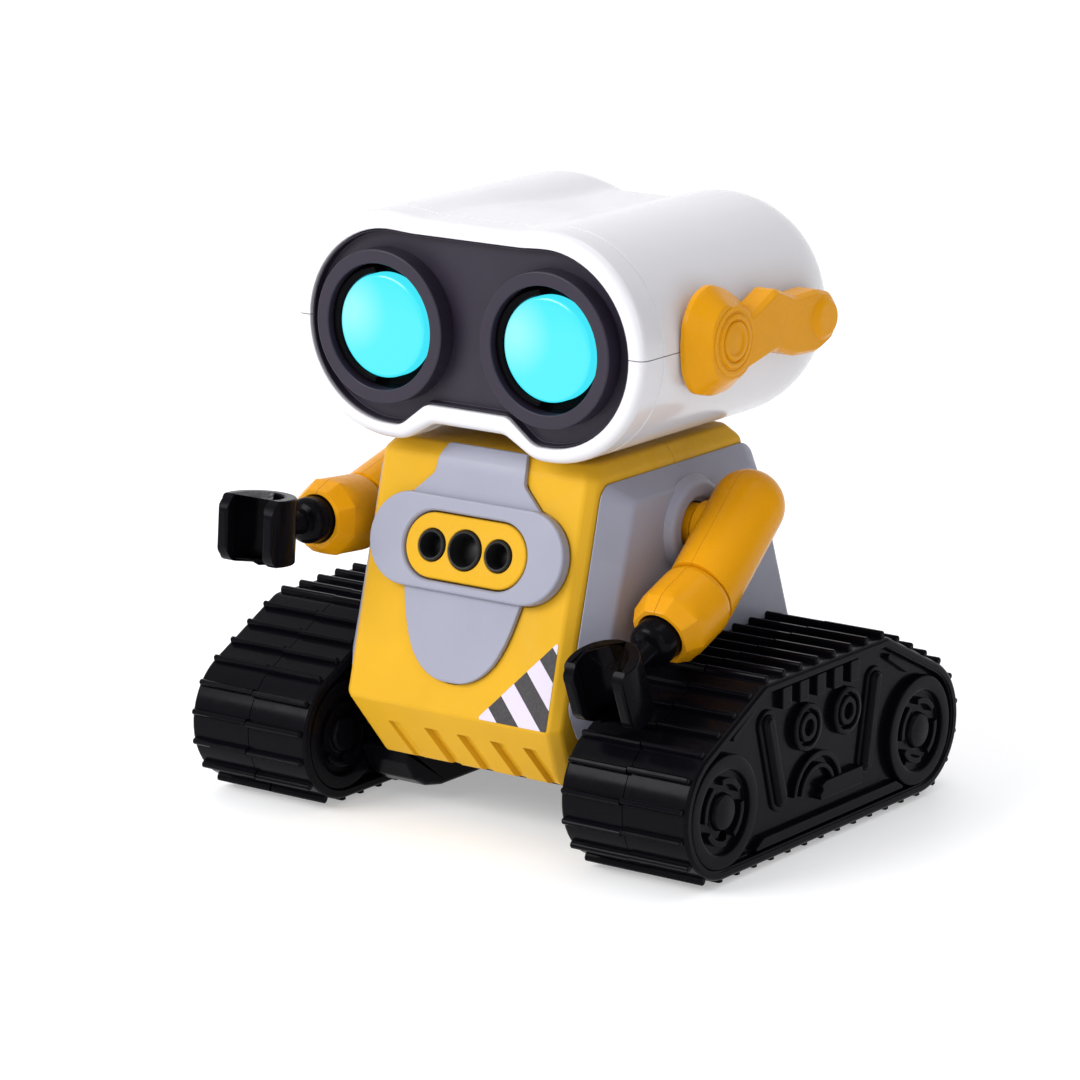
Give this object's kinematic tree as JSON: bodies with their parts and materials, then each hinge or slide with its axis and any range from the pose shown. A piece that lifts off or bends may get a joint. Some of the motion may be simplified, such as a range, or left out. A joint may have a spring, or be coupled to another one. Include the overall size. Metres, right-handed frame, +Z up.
{
  "type": "tracked toy robot",
  "caption": "Toy robot with a binocular head on a turning neck, wedge body, two posable arms with C-shaped hands, and moulded track pods hiding powered wheels.",
  "frame": {"origin": "centre of the bounding box's footprint, on the surface the wheels stand on", "axes": "+Z up, the robot looks along -Y, its own left side is +X"},
  "size_m": [0.16, 0.1405, 0.1612],
  "materials": {
    "white": "gloss",
    "face_dark": "satin",
    "eye_glow": "gloss",
    "arm_yellow": "gloss",
    "body_yellow": "satin",
    "panel_grey": "satin",
    "gloss_black": "gloss",
    "matte_black": "satin",
    "rubber": "matte",
    "steel": "brushed",
    "board": "satin",
    "cell": "satin",
    "gear_white": "satin"
  },
  "bodies": {
    "body": {"body_front_shell": "body_yellow", "body_rear_shell": "body_yellow", "battery_cover": "body_yellow", "charging_socket": "steel", "side_panel_left": "panel_grey", "side_panel_right": "panel_grey", "chest_plate": "panel_grey", "sensor_plate": "body_yellow", "sensor_left": "gloss_black", "sensor_centre": "gloss_black", "sensor_right": "gloss_black", "chassis": "matte_black", "battery_pack": "cell", "main_board": "board", "speaker": "matte_black", "track_outer_left": "gloss_black", "track_inner_left": "gloss_black", "track_outer_right": "gloss_black", "track_inner_right": "gloss_black", "motor_left": "steel", "motor_right": "steel"},
    "head": {"head_top_shell": "white", "head_bottom_shell": "white", "face_mask": "face_dark", "eye_bezel_left": "face_dark", "eye_bezel_right": "face_dark", "eye_lens_left": "eye_glow", "eye_lens_right": "eye_glow", "eye_reflector_left": "face_dark", "eye_reflector_right": "face_dark", "eye_led_board": "board", "ear_left": "arm_yellow", "ear_right": "arm_yellow", "neck_spindle": "matte_black"},
    "switch": {"power_switch": "matte_black"},
    "left_upper_arm": {"upper_arm_inner_left": "arm_yellow", "upper_arm_outer_left": "arm_yellow"},
    "left_forearm": {"forearm_inner_left": "arm_yellow", "forearm_outer_left": "arm_yellow"},
    "left_hand": {"hand_left": "gloss_black"},
    "left_front_wheel": {"front_wheel_left": "matte_black", "front_tyre_left": "rubber"},
    "left_rear_wheel": {"rear_wheel_left": "matte_black", "rear_tyre_left": "rubber", "rear_axle_left": "steel", "drive_gear_left": "gear_white"},
    "left_pinion": {"motor_pinion_left": "gear_white"},
    "right_upper_arm": {"upper_arm_inner_right": "arm_yellow", "upper_arm_outer_right": "arm_yellow"},
    "right_forearm": {"forearm_inner_right": "arm_yellow", "forearm_outer_right": "arm_yellow"},
    "right_hand": {"hand_right": "gloss_black"},
    "right_front_wheel": {"front_wheel_right": "matte_black", "front_tyre_right": "rubber"},
    "right_rear_wheel": {"rear_wheel_right": "matte_black", "rear_tyre_right": "rubber", "rear_axle_right": "steel", "drive_gear_right": "gear_white"},
    "right_pinion": {"motor_pinion_right": "gear_white"}
  },
  "joints": [
    {"name": "head_turn", "type": "hinge", "parent": "body", "child": "head", "pos_m": [0, -0.00117, 0.11], "axis": [0, 0, 1], "range_deg": [-40, 40]},
    {"name": "power_slide", "type": "slide", "parent": "body", "child": "switch", "axis": [1, 0, 0], "range_m": [0, 0.003]},
    {"name": "left_shoulder", "type": "hinge", "parent": "body", "child": "left_upper_arm", "pos_m": [0.0534, -0.00097, 0.0796], "axis": [-1, 0, 0], "range_deg": [-2, 49.6]},
    {"name": "left_elbow_twist", "type": "hinge", "parent": "left_upper_arm", "child": "left_forearm", "pos_m": [0.0534, -0.01667, 0.06566], "axis": [0, -0.9298, -0.3681], "continuous": true},
    {"name": "left_hand_twist", "type": "hinge", "parent": "left_forearm", "child": "left_hand", "pos_m": [0.0534, -0.03415, 0.05874], "axis": [0, -0.9298, -0.3681], "continuous": true},
    {"name": "left_front_wheel_spin", "type": "hinge", "parent": "body", "child": "left_front_wheel", "pos_m": [0.0605, -0.04127, 0.012], "axis": [1, 0, 0], "continuous": true},
    {"name": "left_rear_wheel_spin", "type": "hinge", "parent": "body", "child": "left_rear_wheel", "pos_m": [0.0605, 0.04473, 0.012], "axis": [1, 0, 0], "continuous": true},
    {"name": "left_pinion_spin", "type": "hinge", "parent": "body", "child": "left_pinion", "pos_m": [0.0045, 0.0375, 0.02062], "axis": [1, 0, 0], "continuous": true},
    {"name": "right_shoulder", "type": "hinge", "parent": "body", "child": "right_upper_arm", "pos_m": [-0.0534, -0.00097, 0.0796], "axis": [-1, 0, 0], "range_deg": [-28.2, 23.4]},
    {"name": "right_elbow_twist", "type": "hinge", "parent": "right_upper_arm", "child": "right_forearm", "pos_m": [-0.0534, -0.02121, 0.07402], "axis": [0, -0.9968, 0.0802], "continuous": true},
    {"name": "right_hand_twist", "type": "hinge", "parent": "right_forearm", "child": "right_hand", "pos_m": [-0.0534, -0.03995, 0.07553], "axis": [0, -0.9968, 0.0802], "continuous": true},
    {"name": "right_front_wheel_spin", "type": "hinge", "parent": "body", "child": "right_front_wheel", "pos_m": [-0.0605, -0.04127, 0.012], "axis": [1, 0, 0], "continuous": true},
    {"name": "right_rear_wheel_spin", "type": "hinge", "parent": "body", "child": "right_rear_wheel", "pos_m": [-0.0605, 0.04473, 0.012], "axis": [1, 0, 0], "continuous": true},
    {"name": "right_pinion_spin", "type": "hinge", "parent": "body", "child": "right_pinion", "pos_m": [-0.0045, 0.0375, 0.02062], "axis": [1, 0, 0], "continuous": true}
  ],
  "couplings": [
    {"joint": "left_pinion_spin", "follows": "left_rear_wheel_spin", "ratio": -1.75},
    {"joint": "right_pinion_spin", "follows": "right_rear_wheel_spin", "ratio": -1.75}
  ]
}
